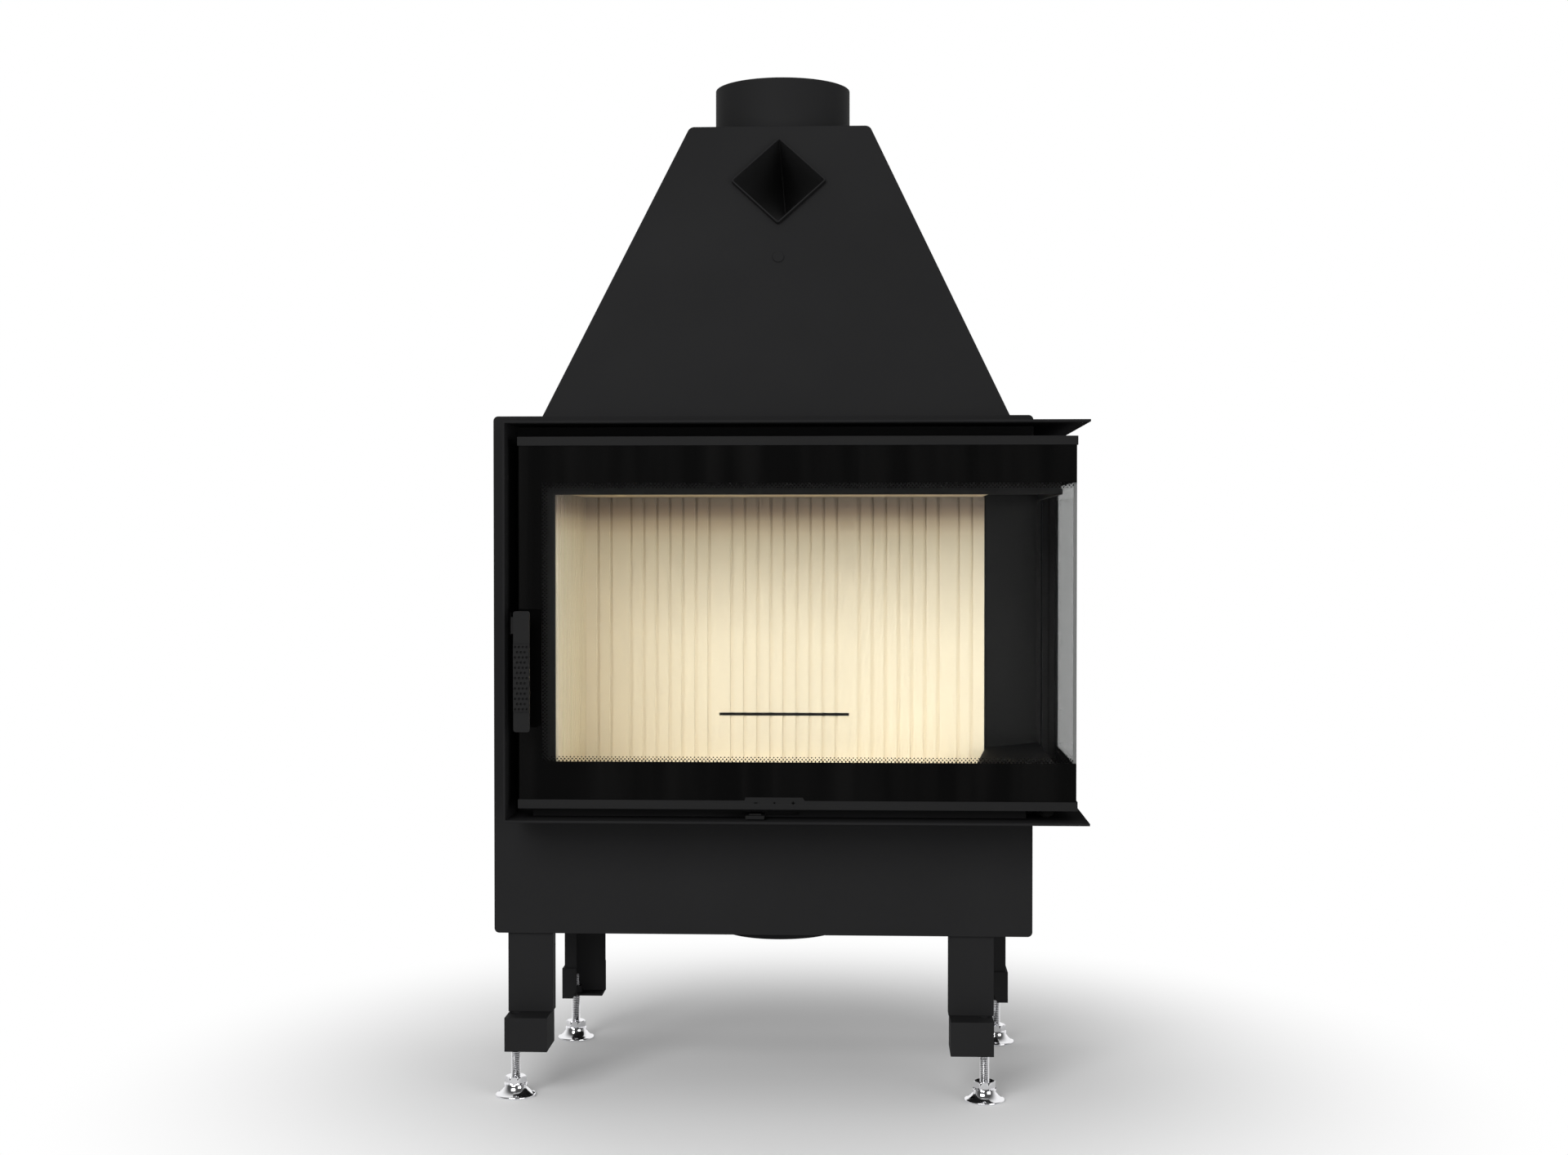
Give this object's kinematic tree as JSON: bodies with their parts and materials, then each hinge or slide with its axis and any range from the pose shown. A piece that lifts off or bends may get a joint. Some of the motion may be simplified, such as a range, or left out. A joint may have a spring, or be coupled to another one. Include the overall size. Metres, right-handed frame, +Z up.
{
  "type": "corner fireplace insert",
  "caption": "Wood-burning corner fireplace insert: glass at the front and right side in an L-shaped swinging door, ribbed fireclay chamber, leaning smoke hood with flue collar, levelling feet.",
  "frame": {"origin": "centre of the whole outline in plan, on the floor", "axes": "+Z up, -Y towards the person who stands at the front glass, +X towards the side glass"},
  "size_m": [0.7306, 0.465, 1.297],
  "materials": {
    "black_steel": "matt heat-proof paint",
    "dark_steel": "matt heat-proof paint",
    "fireclay": "unglazed, matt",
    "vermiculite": "pressed, matt",
    "glass": "clear glass ceramic with black printed border",
    "seal": "clear silicone bead",
    "rope": "braided glass rope",
    "cast_iron": "as cast",
    "chrome": "bright zinc or chrome plate"
  },
  "bodies": {
    "body": {"front_plate": "black_steel", "left_wall": "black_steel", "right_wall": "black_steel", "rear_wall": "black_steel", "roof_plate": "black_steel", "base_plate": "black_steel", "deck_plate": "dark_steel", "mounting_collar": "black_steel", "hood_shell": "black_steel", "hood_front": "black_steel", "hood_rear": "black_steel", "flue_collar": "black_steel", "diamond_duct": "black_steel", "probe_plug": "black_steel", "air_spigot": "black_steel", "firebox_frame": "dark_steel", "firebox_shell": "dark_steel", "firebox_roof": "dark_steel", "firebox_floor": "dark_steel", "corner_post": "dark_steel", "rear_corner_panel": "dark_steel", "back_slab_left": "fireclay", "back_slab_centre": "fireclay", "back_slab_right": "fireclay", "left_slab": "fireclay", "hearth_slabs": "fireclay", "side_ledge": "dark_steel", "ash_pan": "dark_steel", "smoke_baffle": "vermiculite", "air_box": "dark_steel", "hinge_brackets": "black_steel", "latch_keeper": "dark_steel", "leg_front_left": "black_steel", "leg_front_right": "black_steel", "leg_rear_left": "black_steel", "leg_rear_right": "black_steel", "block_front_left": "black_steel", "block_front_right": "black_steel", "block_rear_left": "black_steel", "block_rear_right": "black_steel"},
    "door": {"door_top_rail": "black_steel", "door_bottom_rail": "black_steel", "front_stile": "dark_steel", "rear_stile": "dark_steel", "front_glass": "glass", "side_glass": "glass", "corner_seal": "seal", "door_gasket": "rope", "handle_plate": "dark_steel", "roller_hanger": "dark_steel"},
    "handle": {"handle_bar": "black_steel", "handle_grip": "black_steel", "handle_shaft": "dark_steel"},
    "slider": {"air_slider": "black_steel"},
    "roller": {"support_roller": "dark_steel"},
    "grate": {"grate": "cast_iron"},
    "foot_front_left": {"foot_front_left": "chrome"},
    "foot_front_right": {"foot_front_right": "chrome"},
    "foot_rear_left": {"foot_rear_left": "chrome"},
    "foot_rear_right": {"foot_rear_right": "chrome"}
  },
  "joints": [
    {"name": "door_swing", "type": "hinge", "parent": "body", "child": "door", "pos_m": [0.3537, 0.1735, 0.594], "axis": [0, 0, 1], "range_deg": [0, 95]},
    {"name": "handle_turn", "type": "hinge", "parent": "door", "child": "handle", "pos_m": [-0.3106, -0.2075, 0.592], "axis": [0, -1, 0], "range_deg": [0, 75]},
    {"name": "roller_spin", "type": "hinge", "parent": "door", "child": "roller", "pos_m": [0.3177, -0.1515, 0.3677], "axis": [0, 1, 0], "continuous": true},
    {"name": "air_slide", "type": "slide", "parent": "body", "child": "slider", "axis": [1, 0, 0], "range_m": [0, 0.045]},
    {"name": "grate_lift", "type": "slide", "parent": "body", "child": "grate", "axis": [0, 0, 1], "range_m": [0, 0.03]},
    {"name": "foot_front_left_level", "type": "slide", "parent": "body", "child": "foot_front_left", "axis": [0, 0, 1], "range_m": [-0.02, 0.03]},
    {"name": "foot_front_right_level", "type": "slide", "parent": "body", "child": "foot_front_right", "axis": [0, 0, 1], "range_m": [-0.02, 0.03]},
    {"name": "foot_rear_left_level", "type": "slide", "parent": "body", "child": "foot_rear_left", "axis": [0, 0, 1], "range_m": [-0.02, 0.03]},
    {"name": "foot_rear_right_level", "type": "slide", "parent": "body", "child": "foot_rear_right", "axis": [0, 0, 1], "range_m": [-0.02, 0.03]}
  ]
}
